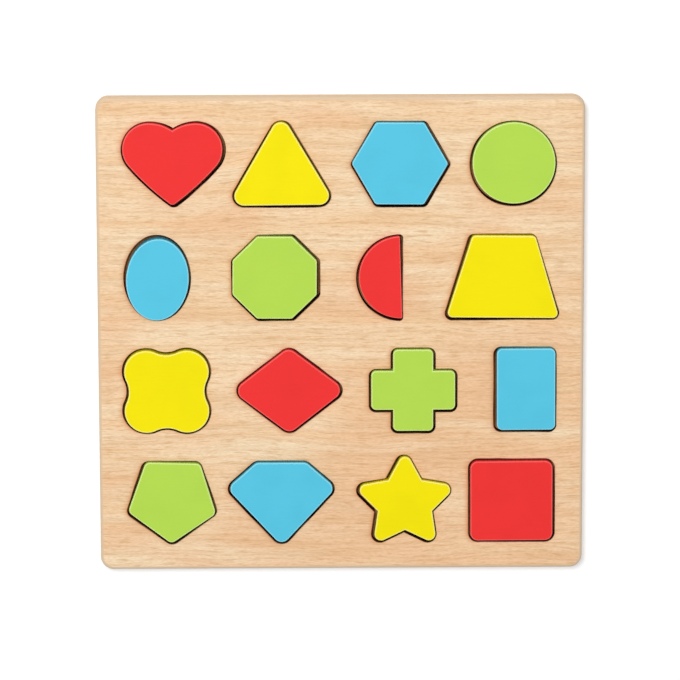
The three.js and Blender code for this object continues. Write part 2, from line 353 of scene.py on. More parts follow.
@dataclass(frozen=True)
class BeechFace:
    """Clear-varnished beech: straight grain along X with short dark flecks, browned along the cut-outs, with
    painted shadow and shade.
    """

    name: str = "beech_face"
    pale: Colour = srgb(253, 230, 196)
    rosy: Colour = srgb(249, 213, 172)
    blush: Colour = srgb(245, 197, 156)
    fleck: Colour = srgb(201, 150, 94)
    # Warm tone round each cut-out: a faint scorch all round, and a painted shadow of the tile on the wood to
    # its left
    scorch_and_shadow: Colour = srgb(214, 144, 98)
    # Near-black rim of each cut-out: char of the hot cut, darkened further as painted shade of the gap
    char_and_shade: Colour = srgb(26, 6, 2)
    # Greyer tone of the sanded outer rim, darkened further as painted shade where the rim turns from the
    # light
    worn: Colour = srgb(219, 194, 164)
    wander: Grain = Grain(70, 28, 28)
    wander_reach: float = 9.0
    band: Grain = Grain(110, 9, 9)
    band_step: Step = Step(0.32, 0.68)
    patch: Grain = Grain(55, 22, 22, 1.0)
    patch_lean: float = 900.0
    patch_step: Step = Step(0.42, 0.7, 0.6)
    ring: Grain = Grain(45, 1.5, 1.5)
    ring_step: Step = Step(0.38, 0.72, 0.28)
    pore: Grain = Grain(7, 0.8, 0.8, 1.0)
    pore_step: Step = Step(0.46, 0.8, 0.5)
    fibre: Grain = Grain(2.1, 0.42, 0.42)
    fibre_step: Step = Step(0.3, 0.75, 0.3)
    fibre_height: float = 0.6
    # Spread of the scorch and painted shadow from the rim; the least share is the scorch all round, the rest
    # is the painted shadow on the left
    scorch_and_shadow_spread: float = 0.35
    scorch_least: float = 0.1
    char_step: Step = Step(0.89, 0.97)
    char_least: float = 0.45
    char_gain: float = 0.53
    worn_step: Step = Step(0.9, 1.0, 0.8)
    sheen: Sheen = Sheen(0.42, 0.16, 0.00003, 0.12)

    def make(self) -> Material:
        """Material of the board's face and its rounded rim."""
        s = Surface(self.name)
        across = s.y + s.noise(self.wander) * self.wander_reach
        band, ring, fibre = (s.noise(grain, across) for grain in (self.band, self.ring, self.fibre))
        # The blush gathers towards the bottom edge, so the face turns pinker and darker lower down
        patch = s.noise(self.patch, across) - s.y / self.patch_lean
        pore = s.noise(self.pore, across).ease(self.pore_step)
        colour = s.mix(band.ease(self.band_step), self.pale, self.rosy)
        colour = s.mix(patch.ease(self.patch_step), colour, self.blush)
        colour = s.mix(ring.ease(self.ring_step), colour, self.fleck)
        colour = s.mix(pore, colour, self.fleck)
        colour = s.mix(fibre.ease(self.fibre_step), colour, self.fleck)
        rim = s.attribute("rim")
        near = rim * s.attribute("burnt")
        # Painted shadow of the tile: full on the left side of each cut-out, with only the least share
        # elsewhere as scorch
        shadow_side = self.scorch_least + s.attribute("shadow_side") * (1 - self.scorch_least)
        scorch_and_shadow_mask = near * (self.scorch_and_shadow_spread + near * (1 - self.scorch_and_shadow_spread)) * shadow_side
        colour = s.mix(scorch_and_shadow_mask, colour, self.scorch_and_shadow)
        # Char along the rim, deepened as painted shade of the gap below it
        char_and_shade_mask = near.ease(self.char_step) * (self.char_least + s.burn() * self.char_gain)
        colour = s.mix(char_and_shade_mask, colour, self.char_and_shade)
        # Outer rim: sanded greyer tone and painted shade
        colour = s.mix((rim - near).ease(self.worn_step), colour, self.worn)
        return s.finish(colour, fibre, fibre * self.fibre_height - pore, self.sheen)


@dataclass(frozen=True)
class CutWall:
    """Wall left by the hot cut: bare wood browned by it, with faint plies; painted shade darkens it further,
    least towards the face.
    """

    name: str = "hole_wall"
    foot: float = LAYOUT.base
    head: float = LAYOUT.board_top
    # Near-black browns: the burn of the cut, darkened further as painted shade of the narrow gaps
    light: Colour = srgb(92, 42, 16)
    dark: Colour = srgb(20, 6, 2)
    streak: Grain = Grain(0.5, 0.5, 9)
    cloud: Grain = Grain(9, 9, 6)
    ply: float = 1.45
    ply_wander: float = 1.4
    least: float = 0.2
    foot_shade_gain: float = 0.5
    cloud_gain: float = 0.45
    streak_gain: float = 0.25
    ply_loss: float = 0.12
    burn_loss: float = 0.35
    light_step: Step = Step(0.25, 0.95)
    sheen: Sheen = Sheen(0.7, 0.2, 0.00006, 0.01)

    def make(self) -> Material:
        """Material of a cut wall."""
        s = Surface(self.name)
        streak, cloud = s.noise(self.streak), s.noise(self.cloud)
        ply = (s.z * (TURN / self.ply) + cloud * self.ply_wander).wave()
        # Lighter towards the face and darker towards the foot: painted shade deep in the gap
        light = s.rise(self.foot, self.head) * self.foot_shade_gain + cloud * self.cloud_gain
        light = light + streak * self.streak_gain - ply * self.ply_loss
        light = light + self.least - s.burn() * self.burn_loss
        colour = s.mix(light.ease(self.light_step), self.dark, self.light)
        return s.finish(colour, streak, streak, self.sheen)


@dataclass(frozen=True)
class SandedEdge:
    """Sanded outer edge of the board: fine plies, every other one cut across its grain."""

    name: str = "sanded_edge"
    long_grain: Colour = srgb(238, 208, 168)
    end_grain: Colour = srgb(218, 180, 136)
    glue: Colour = srgb(182, 138, 98)
    glue_level: float = LAYOUT.base
    glue_share: float = 0.7
    glue_step: Step = Step(0.0, 0.02)
    ply: float = 1.0
    ply_step: Step = Step(0.375, 0.625)
    wander: Grain = Grain(18, 18, 3)
    wander_reach: float = 0.25
    pore: Grain = Grain(0.5, 0.5, 0.4)
    pore_step: Step = Step(0.4, 0.7, 0.5)
    streak: Grain = Grain(11, 11, 0.25)
    streak_step: Step = Step(0.45, 0.8, 0.4)
    sheen: Sheen = Sheen(0.5, 0.15, 0.00004)

    def make(self) -> Material:
        """Material of the board's outer edge."""
        s = Surface(self.name)
        level = s.z + s.noise(self.wander) * self.wander_reach
        layer = (level * (math.pi / self.ply)).wave().ease(self.ply_step)
        pore, streak = s.noise(self.pore), s.noise(self.streak)
        ends = s.mix(pore.ease(self.pore_step), self.end_grain, self.glue)
        sides = s.mix(streak.ease(self.streak_step), self.long_grain, self.end_grain)
        colour = s.mix(layer, ends, sides)
        off = s.z - self.glue_level
        colour = s.mix((1 - (off * off).ease(self.glue_step)) * self.glue_share, colour, self.glue)
        return s.finish(colour, pore, (pore + streak) / 2, self.sheen)


@dataclass(frozen=True)
class BareWood:
    """Raw sanded wood of the backing sheet and of the tiles' backs."""

    name: str
    pale: Colour = srgb(226, 188, 142)
    dark: Colour = srgb(178, 130, 86)
    wander: Grain = Grain(60, 20, 20, 1.0)
    wander_reach: float = 6.0
    band: Grain = Grain(150, 9, 9, 3.0)
    band_step: Step = Step(0.35, 0.7, 0.5)
    pore: Grain = Grain(4, 0.4, 0.4)
    pore_step: Step = Step(0.5, 0.8, 0.5)
    sheen: Sheen = Sheen(0.66, 0.2, 0.00005, 0.15)

    def make(self) -> Material:
        """Material of a raw face."""
        s = Surface(self.name)
        across = s.y + s.noise(self.wander) * self.wander_reach
        band, pore = s.noise(self.band, across), s.noise(self.pore, across)
        colour = s.mix(band.ease(self.band_step) + pore.ease(self.pore_step), self.pale, self.dark)
        return s.finish(colour, pore, pore, self.sheen)


TILE_BACK = BareWood("tile_back")
# Brown hardboard backing, kept darker than the tiles' raw backs partly as painted shade of the floors seen
# down the gaps
BACKING = BareWood("backing_sheet", srgb(184, 130, 80), srgb(136, 90, 52))


@dataclass(frozen=True)
class PaintedFace:
    """Satin paint on a tile's face, with a painted highlight in a paler tone along the eased edge."""

    name: str
    colour: Colour
    # Paler tone along the eased edge: a painted highlight
    edge: Colour
    deep: float = 0.9
    cloud: Grain = Grain(16, 16, 16, 3.0)
    cloud_step: Step = Step(0.35, 0.7, 0.35)
    grain: Grain = Grain(9, 0.6, 0.6)
    grain_step: Step = Step(0.5, 0.8, 0.18)
    grain_height: float = 0.6
    peel: Grain = Grain(0.45, 0.45, 0.45, 1.0)
    peel_share: float = 0.5
    highlight_step: Step = Step(0.3, 0.9)
    highlight_least: float = 0.35
    highlight_grain: float = 0.5
    sheen: Sheen = Sheen(0.36, 0.12, 0.000018, 0.12)

    def make(self) -> Material:
        """Material of a painted face."""
        s = Surface(self.name)
        cloud, grain, peel = (s.noise(size) for size in (self.cloud, self.grain, self.peel))
        deep = tuple(level * self.deep for level in self.colour)
        colour = s.mix(cloud.ease(self.cloud_step) + grain.ease(self.grain_step), self.colour, deep)
        # Painted highlight along the eased edge
        painted_highlight = s.attribute("rim").ease(self.highlight_step) * (self.highlight_least + grain * self.highlight_grain)
        colour = s.mix(painted_highlight, colour, self.edge)
        height = grain * self.grain_height + peel * (1 - self.grain_height)
        return s.finish(colour, cloud + peel * self.peel_share, height, self.sheen)


@dataclass(frozen=True)
class PaintedSide:
    """Paint on a tile's sawn side: thinner than on the face, worn to the wood towards the foot, streaked with
    a darker copy of the paint as painted shade.
    """

    name: str
    colour: Colour
    bare: Colour = srgb(186, 138, 92)
    # Share of the paint's colour in its darker copy, the painted shade on the sides
    painted_shade: float = 0.5
    foot: float = LAYOUT.base
    head: float = LAYOUT.tile_top
    streak: Grain = Grain(0.5, 0.5, 8)
    streak_step: Step = Step(0.3, 0.7, 0.6)
    cloud: Grain = Grain(6, 6, 4)
    cloud_wear: float = 0.6
    streak_wear: float = 0.5
    rise_spares: float = 0.9
    worn_step: Step = Step(0.2, 0.6)
    sheen: Sheen = Sheen(0.5, 0.2, 0.00005, 0.25)

    def make(self) -> Material:
        """Material of a painted side."""
        s = Surface(self.name)
        streak, cloud = s.noise(self.streak), s.noise(self.cloud)
        worn = cloud * self.cloud_wear + streak * self.streak_wear
        worn = worn - s.rise(self.foot, self.head) * self.rise_spares
        # Darker copy of the paint, streaked in as painted shade
        painted_shade = tuple(level * self.painted_shade for level in self.colour)
        colour = s.mix(streak.ease(self.streak_step), self.colour, painted_shade)
        colour = s.mix(worn.ease(self.worn_step), colour, self.bare)
        return s.finish(colour, streak, streak, self.sheen)


class Paint(Enum):
    """The four paints; each value is a name, from which the side materials are named."""

    RED = "red_paint"
    YELLOW = "yellow_paint"
    BLUE = "blue_paint"
    GREEN = "green_paint"


# Each paint's second colour is its painted highlight along the tile's eased edge
PAINTS: dict[Paint, PaintedFace] = {
    Paint.RED: PaintedFace("red_face", srgb(241, 53, 52), srgb(249, 112, 108)),
    Paint.YELLOW: PaintedFace("yellow_face", srgb(248, 232, 0), srgb(255, 247, 160)),
    Paint.BLUE: PaintedFace("blue_face", srgb(89, 200, 229), srgb(160, 228, 245)),
    Paint.GREEN: PaintedFace("green_face", srgb(183, 221, 82), srgb(231, 247, 174)),
}


# Outlines, in millimetres

CHORD_ERROR = 0.004
OVAL_POINTS = 180


def arc(x: float, y: float, radius: float, grow: float, start: float, end: float) -> Ring:
    """Points of an arc, as many for a grown arc as for the plain one.

    Args:
        x: X of the centre.
        y: Y of the centre.
        radius: Radius before it grows.
        grow: What the radius gains.
        start: First angle.
        end: Last angle.

    Returns:
        The points, both ends included.
    """
    step = 2 * math.acos(1 - CHORD_ERROR / max(radius, 2 * CHORD_ERROR))
    count = max(3, math.ceil(abs(end - start) / step))
    angles = [start + (end - start) * i / count for i in range(count + 1)]
    return [(x + (radius + grow) * math.cos(a), y + (radius + grow) * math.sin(a)) for a in angles]


def turned(points: Ring, angle: float) -> Ring:
    """Points turned about the origin."""
    c, s = math.cos(angle), math.sin(angle)
    return [(x * c - y * s, x * s + y * c) for x, y in points]


def around(part: Ring, count: int, start: float = 0.0) -> Ring:
    """Points repeated all round the origin."""
    return [point for i in range(count) for point in turned(part, start + TURN / count * i)]


def mirrored(points: Ring) -> Ring:
    """Mirror image across the Y axis, in reverse order."""
    return [(-x, y) for x, y in reversed(points)]


class Outline:
    """A closed outline, counter-clockwise, that can grow outwards all round."""

    def ring(self, grow: float) -> Ring:
        """Points of the outline, the same number for every growth."""
        raise NotImplementedError

    def centred(self, grow: float) -> Ring:
        """Points with the middle of the plain outline's box at the origin."""
        xs, ys = zip(*self.ring(0.0))
        middle_x, middle_y = (min(xs) + max(xs)) / 2, (min(ys) + max(ys)) / 2
        return [(x - middle_x, y - middle_y) for x, y in self.ring(grow)]


@dataclass(frozen=True)
class RoundedPolygon(Outline):
    """Convex polygon with round corners, given by the corners' centres."""

    centres: tuple[Point, ...]
    corner: float

    def ring(self, grow: float) -> Ring:
        """Arc at each corner."""
        count = len(self.centres)
        normals = []
        for i, (x, y) in enumerate(self.centres):
            next_x, next_y = self.centres[(i + 1) % count]
            normals.append(math.atan2(x - next_x, next_y - y))
        points: Ring = []
        for i, (x, y) in enumerate(self.centres):
            turn = (normals[i] - normals[i - 1]) % TURN
            points += arc(x, y, self.corner, grow, normals[i - 1], normals[i - 1] + turn)
        return points


@dataclass(frozen=True)
class Oval(Outline):
    """Circle or upright ellipse."""

    width: float
    height: float

    def ring(self, grow: float) -> Ring:
        """Points moved out along the normal."""
        a, b = self.width / 2, self.height / 2
        points = []
        for i in range(OVAL_POINTS):
            angle = TURN * i / OVAL_POINTS
            c, s = math.cos(angle), math.sin(angle)
            length = math.hypot(c / a, s / b)
            points.append((a * c + grow * c / a / length, b * s + grow * s / b / length))
        return points


@dataclass(frozen=True)
class HalfDisc(Outline):
    """Half disc with its straight side on the right."""

    height: float
    corner: float

    def ring(self, grow: float) -> Ring:
        """Small corner, great arc, small corner."""
        radius = self.height / 2
        y = math.sqrt((radius - self.corner) ** 2 - self.corner**2)
        meet = math.atan2(y, -self.corner)
        points = arc(-self.corner, y, self.corner, grow, 0, meet)
        points += arc(0, 0, radius, grow, meet, TURN - meet)[1:]
        return points + arc(-self.corner, -y, self.corner, grow, TURN - meet, TURN)[1:]


@dataclass(frozen=True)
class Heart(Outline):
    """Round tip, bowed flanks, round lobes, and flatter crowns that meet in a sharp notch."""

    width: float
    height: float
    lobe: float
    flank: float
    tip: float
    notch: float

    def ring(self, grow: float) -> Ring:
        """Right half from the tip up, and its mirror image."""
        top = self.height / 2
        lobe = Vector((self.width / 2 - self.lobe, top - self.lobe))
        tip = Vector((0.0, self.tip - top))
        between = tip - lobe
        length = between.length
        to_lobe, to_tip = self.flank - self.lobe, self.flank - self.tip
        along = (to_lobe**2 - to_tip**2 + length**2) / (2 * length)
        across = math.sqrt(to_lobe**2 - along**2)
        unit = between / length
        flank = lobe + unit * along + Vector((unit.y, -unit.x)) * across
        flank_top = math.atan2(lobe.y - flank.y, lobe.x - flank.x)
        flank_foot = math.atan2(tip.y - flank.y, tip.x - flank.x)
        crown = (lobe.x**2 + self.notch**2) / (2 * self.notch)
        right = arc(tip.x, tip.y, self.tip, grow, -QUARTER, flank_foot)
        right += arc(flank.x, flank.y, self.flank, grow, flank_foot, flank_top)[1:]
        right += arc(lobe.x, lobe.y, self.lobe, grow, flank_top, QUARTER)[1:]
        ends = [math.asin(lobe.x / (crown + g)) for g in (0.0, grow)]
        count = len(arc(0, 0, crown, 0, 0, ends[0]))
        for i in range(1, count):
            angle = QUARTER + ends[1] * i / (count - 1)
            x = lobe.x + (crown + grow) * math.cos(angle)
            right.append((x, top - crown + (crown + grow) * math.sin(angle)))
        return right + mirrored(right)[1:-1]


@dataclass(frozen=True)
class Quatrefoil(Outline):
    """Four round lobes, joined by hollow waists that run smoothly into them."""

    size: float
    lobe: float
    waist: float

    def ring(self, grow: float) -> Ring:
        """One lobe and one waist, four times."""
        middle = self.size / 2 - self.lobe
        waist = self.size / 2 - self.waist
        rise = waist - middle
        hollow = (rise**2 + middle**2 - self.lobe**2) / (2 * (self.lobe - rise))
        centre = waist + hollow
        meet = math.atan2(middle, centre - middle)
        part = arc(middle, middle, self.lobe, grow, -meet, QUARTER + meet)
        part += arc(0, centre, hollow, -grow, meet - QUARTER, -meet - QUARTER)[1:-1]
        return around(part, 4)


@dataclass(frozen=True)
class Cross(Outline):
    """Two equal bars with rounded ends and sharp inner corners."""

    size: float
    arm: float
    corner: float

    def ring(self, grow: float) -> Ring:
        """One arm, four times."""
        end, side = self.size / 2 - self.corner, self.arm / 2 - self.corner
        inner = self.arm / 2 + grow
        part = arc(end, -side, self.corner, grow, -QUARTER, 0)
        part += arc(end, side, self.corner, grow, 0, QUARTER)
        part.append((inner, inner))
        return around(part, 4)


@dataclass(frozen=True)
class Star(Outline):
    """Five points with round tips and sharp inner corners."""

    height: float
    inner: float
    tip: float

    def ring(self, grow: float) -> Ring:
        """One point, five times."""
        half = math.pi / 5
        reach = fivefold_radius(self.height, self.tip)
        inner = Vector((self.inner * math.cos(half), self.inner * math.sin(half)))
        to_tip = Vector((reach, 0.0)) - inner
        edge = math.atan2(-to_tip.y, to_tip.x) - math.asin(self.tip / to_tip.length)
        part = arc(reach, 0, self.tip, grow, edge - QUARTER, QUARTER - edge)
        part += turned([(self.inner + grow / math.sin(edge + half), 0)], half)
        return around(part, 5, QUARTER)


def fivefold_radius(height: float, corner: float) -> float:
    """Distance from the middle of a five-pointed figure to the centres of its round corners."""
    return (height - 2 * corner) / (1 + math.cos(math.pi / 5))


def rounded_box(width: float, height: float, corner: float) -> RoundedPolygon:
    """Rectangle with round corners."""
    x, y = width / 2 - corner, height / 2 - corner
    return RoundedPolygon(((x, -y), (x, y), (-x, y), (-x, -y)), corner)


def regular(sides: int, radius: float, start: float, corner: float) -> RoundedPolygon:
    """Regular polygon with round corners."""
    angles = [start + TURN * i / sides for i in range(sides)]
    return RoundedPolygon(tuple((radius * math.cos(a), radius * math.sin(a)) for a in angles), corner)


def flat_topped(sides: int, height: float, corner: float) -> RoundedPolygon:
    """Regular polygon with an even number of sides, one of them at the top."""
    half = math.pi / sides
    return regular(sides, (height / 2 - corner) / math.cos(half), QUARTER + half, corner)


def triangle(width: float, height: float, corner: float) -> RoundedPolygon:
    """Upright triangle with its base at the bottom."""
    x, y = width / 2 - corner, height / 2 - corner
    return RoundedPolygon(((-x, -y), (x, -y), (0.0, y)), corner)


def trapezoid(top: float, base: float, height: float, corner: float) -> RoundedPolygon:
    """Trapezoid with its long side at the bottom."""
    y = height / 2 - corner
    right = [(base / 2 - corner, -y), (top / 2 - corner, y)]
    return RoundedPolygon((*right, *mirrored(right)), corner)


def rhombus(width: float, height: float, corner: float) -> RoundedPolygon:
    """Rhombus on its point."""
    x, y = width / 2 - corner, height / 2 - corner
    return RoundedPolygon(((0.0, -y), (x, 0.0), (0.0, y), (-x, 0.0)), corner)


def pentagon(height: float, corner: float) -> RoundedPolygon:
    """Regular pentagon with its point at the bottom."""
    return regular(5, fivefold_radius(height, corner), -QUARTER, corner)


def gem(width: float, height: float, table: float, girdle: float, corner: float) -> RoundedPolygon:
    """Cut stone seen from the side: flat table, wide girdle below it, point at the bottom."""
    top = height / 2
    right = [(width / 2 - corner, top - girdle), (table / 2 - corner, top - corner)]
    return RoundedPolygon(((0.0, corner - top), *right, *mirrored(right)), corner)


# Plates grown from their outlines

# Growth by which an outline's way into the wood is measured
PROBE = 0.1
SHARP_ANGLE = math.radians(32)


class Wood(Enum):
    """On which side of an outline the wood lies, with the sign of a growth into it."""

    INSIDE = -1
    OUTSIDE = 1


@dataclass(frozen=True)
class Loop:
    """One edge of a plate: its outline, and how its wall is rounded at the top and at the bottom."""

    points: Ring
    inset: Ring
    upper: float
    lower: float
    burnt: bool


@dataclass(frozen=True)
class Coat:
    """Materials of a plate: on its face, its outer edge, its cut walls and its back."""

    face: Material
    edge: Material
    cut: Material
    back: Material


@dataclass(frozen=True)
class Plate:
    """A flat piece between closed edges, whose walls and faces come from a Geometry Nodes tree."""

    name: str
    loops: list[Loop]
    underside: float
    thickness: float
    band: float
    coat: Coat

    def outline_mesh(self) -> Mesh:
        """Mesh of the bare edges, with the loops' figures at each vertex."""
        points: list[Place] = []
        edges: list[tuple[int, int]] = []
        inset: list[float] = []
        figures: dict[str, list[float]] = {"upper": [], "lower": [], "burnt": [], "shadow_side": []}
        for loop in self.loops:
            first, count = len(points), len(loop.points)
            points += [(x * MM, y * MM, 0.0) for x, y in loop.points]
            edges += [(first + i, first + (i + 1) % count) for i in range(count)]
            for x, y in loop.inset:
                inset += [x, y, 0.0]
            figures["upper"] += [loop.upper * MM] * count
            figures["lower"] += [loop.lower * MM] * count
            figures["burnt"] += [float(loop.burnt)] * count
            # Left side of each cut-out, where the board's face gets the painted shadow of the tile
            figures["shadow_side"] += [max(0.0, -x) for x, _ in loop.inset]
        mesh = bpy.data.meshes.new(self.name)
        mesh.from_pydata(points, edges, [])
        mesh.attributes.new("inset", "FLOAT_VECTOR", "POINT").data.foreach_set("vector", inset)
        for name, numbers in figures.items():
            mesh.attributes.new(name, "FLOAT", "POINT").data.foreach_set("value", numbers)
        return mesh

    def build(self, tree: NodeTree) -> Object:
        """Runs the tree on the outline and keeps the result as a plain mesh.

        Args:
            tree: The plate tree.

        Returns:
            The finished piece.
        """
        outline = add_object(self.name + "_outline", self.outline_mesh())
        modifier = outline.modifiers.new("plate", "NODES")
        modifier.node_group = tree
        given = {
            "Underside": self.underside * MM,
            "Thickness": self.thickness * MM,
            "Band": self.band * MM,
            "Face": self.coat.face,
            "Edge": self.coat.edge,
            "Cut": self.coat.cut,
            "Back": self.coat.back,
        }
        for item in tree.interface.items_tree:
            if item.name in given:
                modifier[item.identifier] = given[item.name]
        bpy.context.view_layer.update()
        evaluated = outline.evaluated_get(bpy.context.evaluated_depsgraph_get())
        mesh = bpy.data.meshes.new_from_object(evaluated)
        bpy.data.objects.remove(outline)
        mesh.name = self.name
        self.close(mesh)
        return add_object(self.name, mesh)

    @staticmethod
    def close(mesh: Mesh) -> None:
        """Turns all faces outwards, and shades them smooth between sharp edges."""
        shell = bmesh.new()
        shell.from_mesh(mesh)
        bmesh.ops.recalc_face_normals(shell, faces=shell.faces)
        shell.to_mesh(mesh)
        shell.free()
        mesh.shade_smooth()
        mesh.set_sharp_from_angle(angle=SHARP_ANGLE)


class PlateTree(Graph):
    """Geometry Nodes tree that turns bare outlines into a plate with rounded edges."""

    STEPS = 5
    MERGE = 2e-6

    def __init__(self) -> None:
        """Makes the tree."""
        group = bpy.data.node_groups.new("plate_from_outlines", "GeometryNodeTree")
        super().__init__(group)
        interface = group.interface
        interface.new_socket("Geometry", in_out="INPUT", socket_type="NodeSocketGeometry")
        sizes = ("Underside", "Thickness", "Band")
        for name in sizes:
            interface.new_socket(name, in_out="INPUT", socket_type="NodeSocketFloat")
        for name in ("Face", "Edge", "Cut", "Back"):
            interface.new_socket(name, in_out="INPUT", socket_type="NodeSocketMaterial")
        interface.new_socket("Geometry", in_out="OUTPUT", socket_type="NodeSocketGeometry")
        self.given = self.node("NodeGroupInput").outputs
        self.underside, self.thickness, self.band = (self.value(self.given[name]) for name in sizes)
        self.wire()

    def figure(self, name: str, kind: str = "FLOAT") -> NodeSocket:
        """Figure that the outline holds at each vertex."""
        return self.node("GeometryNodeInputNamedAttribute", {"Name": name}, data_type=kind).outputs[0]

    def store(self, mesh: object, name: str, term: object, kind: str, picked: object = True) -> object:
        """Keeps a figure at each vertex under a name."""
        sockets = {"Geometry": mesh, "Selection": picked, "Name": name, "Value": term}
        node = self.node("GeometryNodeStoreNamedAttribute", sockets, data_type=kind, domain="POINT")
        return node.outputs[0]

    def lift(self, level: Term) -> NodeSocket:
        """Vector up to a level above the underside."""
        return self.vector(0.0, 0.0, level + self.underside)

    def place(self, inset: Term, level: Term) -> NodeSocket:
        """Position of a row: the outline moved inwards, at a level above the underside."""
        inwards = self.vector_math("SCALE", {0: self.figure("inset", "FLOAT_VECTOR"), "Scale": inset})
        moved = self.vector_math("ADD", {0: self.figure("ring", "FLOAT_VECTOR"), 1: inwards})
        return self.vector_math("ADD", {0: moved, 1: self.lift(level)})

    def moved(self, mesh: object, row: Row, picked: object = True) -> NodeSocket:
        """Mesh with the picked points at a row."""
        sockets = {"Geometry": mesh, "Selection": picked, "Position": self.place(*row)}
        return self.node("GeometryNodeSetPosition", sockets).outputs[0]

    def rows(self) -> list[Row]:
        """Inset and level of each row of the wall, from the underside up, with a flat band at the end."""
        upper, lower = self.value(self.figure("upper")), self.value(self.figure("lower"))
        angles = [QUARTER * i / self.STEPS for i in range(self.STEPS + 1)]
        falls = [(1 - math.cos(angle), 1 - math.sin(angle)) for angle in angles]
        foot = [(lower * s, lower * c) for c, s in falls]
        head = [(upper * c, self.thickness - upper * s) for c, s in falls]
        return [*foot, *head, (upper + self.band, self.thickness)]

    def cap(self, outline: object, row: Row) -> NodeSocket:
        """Face filled between all the edges at a row."""
        curve = self.node("GeometryNodeMeshToCurve", {0: self.moved(outline, row)})
        filled = self.node("GeometryNodeFillCurve", {0: curve.outputs[0]}, mode="TRIANGLES")
        sockets = {"Geometry": filled.outputs[0], "Offset": self.lift(row[1])}
        return self.node("GeometryNodeSetPosition", sockets).outputs[0]

    def wire(self) -> None:
        """Grows the wall row by row, fills both faces and gives the materials."""
        at = self.node("GeometryNodeInputPosition").outputs[0]
        outline = self.store(self.given["Geometry"], "ring", at, "FLOAT_VECTOR")
        outline = self.store(outline, "rim", 1.0, "FLOAT")
        rows = self.rows()
        mesh, top = self.moved(outline, rows[0]), True
        for row in rows[1:]:
            sockets = {"Mesh": mesh, "Selection": top, "Offset Scale": 0.0}
            grown = self.node("GeometryNodeExtrudeMesh", sockets, mode="EDGES")
            top = grown.outputs["Top"]
            mesh = self.moved(grown.outputs["Mesh"], row, top)
        mesh = self.store(mesh, "rim", 0.0, "FLOAT", top)
        lower = self.node("GeometryNodeFlipFaces", {0: self.cap(outline, rows[0])}).outputs[0]
        joined = self.node("GeometryNodeJoinGeometry")
        for piece in (lower, self.cap(outline, rows[-1]), mesh):
            self.put(joined.inputs[0], piece)
        sockets = {"Geometry": joined.outputs[0], "Distance": self.MERGE}
        merged = self.node("GeometryNodeMergeByDistance", sockets)
        whole = self.node("GeometryNodeRealizeInstances", {0: merged.outputs[0]})
        self.dress(whole.outputs[0], at)

    def dress(self, mesh: NodeSocket, at: NodeSocket) -> None:
        """Face on top, edge or cut on the walls, back underneath."""
        level = self.value(self.node("ShaderNodeSeparateXYZ", {0: at}).outputs[2])
        level = level - self.underside
        shoulder = self.thickness - self.value(self.figure("upper"))
        walled = (level < shoulder - self.MERGE) * (level > self.MERGE)
        cut = walled * self.value(self.figure("burnt"))
        choices = {"Face": True, "Edge": walled, "Cut": cut, "Back": level < self.MERGE}
        for name, picked in choices.items():
            sockets = {"Geometry": mesh, "Selection": picked, "Material": self.given[name]}
            mesh = self.node("GeometryNodeSetMaterial", sockets).outputs[0]
        self.node("NodeGroupOutput", {0: mesh})


def edge_loop(
    outline: Callable[[float], Ring],
    grow: float,
    wood: Wood,
    upper: float,
    lower: float,
    burnt: bool,
    move: Callable[[Ring], Ring] = list,
) -> Loop:
    """Edge of a plate from an outline.

    Args:
        outline: Gives the outline's points for a growth.
        grow: Growth at the edge itself.
        wood: Where the wood lies.
        upper: Radius of the rounded upper edge.
        lower: Radius of the rounded lower edge.
        burnt: Whether the wall was left by the hot cut.
        move: Puts the points in their place on the board.

    Returns:
        The edge.
    """
    points = move(outline(grow))
    deeper = move(outline(grow + wood.value * PROBE))
    inset = [((u - x) / PROBE, (v - y) / PROBE) for (x, y), (u, v) in zip(points, deeper)]
    return Loop(points, inset, upper, lower, burnt)


# The puzzle

# Height of most tiles
TALL = LAYOUT.tile_height


def settle(piece: Object, node: str, body: str) -> None:
    """Puts a piece in the place of a solid.

    Args:
        piece: The piece.
        node: The solid that it stands for.
        body: The body that it moves with.
    """
    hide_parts(node)
    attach(piece, body)
    log.info("%s: %d faces", piece.name, len(piece.data.polygons))


@dataclass(frozen=True)
class Tile:
    """A painted tile: its outline, its cut-out's place and how it lies there."""

    name: str
    outline: Outline
    paint: Paint
    row: int
    column: int
    shift: float
    lie: tuple[float, float, float]
    rise: float = 0.0
    edge_round: float = 0.4
    band: float = 0.35

    @property
    def centre(self) -> Point:
        """Middle of the cut-out."""
        x = self.column * LAYOUT.pitch - LAYOUT.reach + self.shift
        return x, LAYOUT.reach - self.row * LAYOUT.pitch + LAYOUT.rise + self.rise

    def in_cutout(self, points: Ring) -> Ring:
        """Points moved to the cut-out."""
        x, y = self.centre
        return [(u + x, v + y) for u, v in points]

    def as_it_lies(self, points: Ring) -> Ring:
        """Points moved to the tile, as it lies slid and turned in its cut-out."""
        play = LAYOUT.clearance - LAYOUT.least_gap
        right, up, turn = (share * play for share in self.lie)
        x, y = self.centre
        return [(u + x + right, v + y + up) for u, v in turned(points, turn / (TALL / 2))]

    def hole(self, rim: float) -> Loop:
        """Edge of the cut-out in the board."""
        return edge_loop(self.outline.centred, LAYOUT.clearance, Wood.OUTSIDE, rim, 0.0, True, self.in_cutout)

    def dress(self, tree: NodeTree, finishes: Finishes) -> None:
        """Puts the painted tile in the place of its solid.

        Args:
            tree: The plate tree.
            finishes: The materials.
        """
        radius = self.edge_round
        edge = edge_loop(self.outline.centred, 0.0, Wood.INSIDE, radius, radius, True, self.as_it_lies)
        coat = finishes.tiles[self.paint]
        plate = Plate(self.name + "_painted", [edge], LAYOUT.base, LAYOUT.tile, self.band, coat)
        settle(plate.build(tree), self.name + "_tile", self.name)


